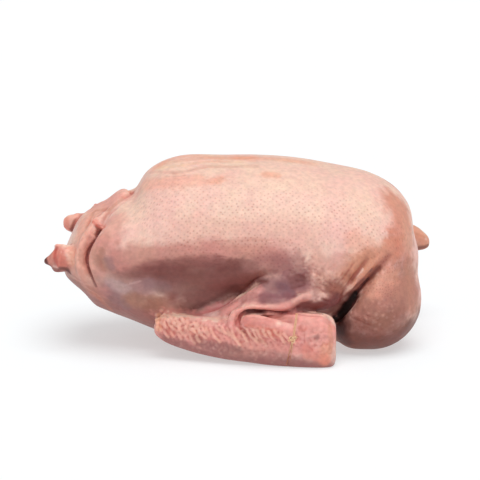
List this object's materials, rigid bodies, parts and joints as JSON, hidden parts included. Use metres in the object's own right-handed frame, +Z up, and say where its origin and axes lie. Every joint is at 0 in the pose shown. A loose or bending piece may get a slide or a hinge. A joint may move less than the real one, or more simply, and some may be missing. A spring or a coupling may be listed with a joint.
{
  "type": "whole raw goose",
  "caption": "Whole plucked goose, raw and oven-ready, lying on its back with its wings folded and tied with twine.",
  "frame": {"origin": "under the middle of the whole bird, on the surface that it lies on", "axes": "+X from the tail end to the neck end, +Y to the bird's far side in the picture, +Z up through the breast"},
  "size_m": [0.385, 0.2514, 0.1848],
  "materials": {
    "goose_skin": "moist, fatty raw skin, satin",
    "butcher_twine": "twisted cotton, matt"
  },
  "bodies": {
    "root": {"goose": "goose_skin", "near_wing_tie": "butcher_twine", "far_wing_tie": "butcher_twine"}
  },
  "joints": []
}
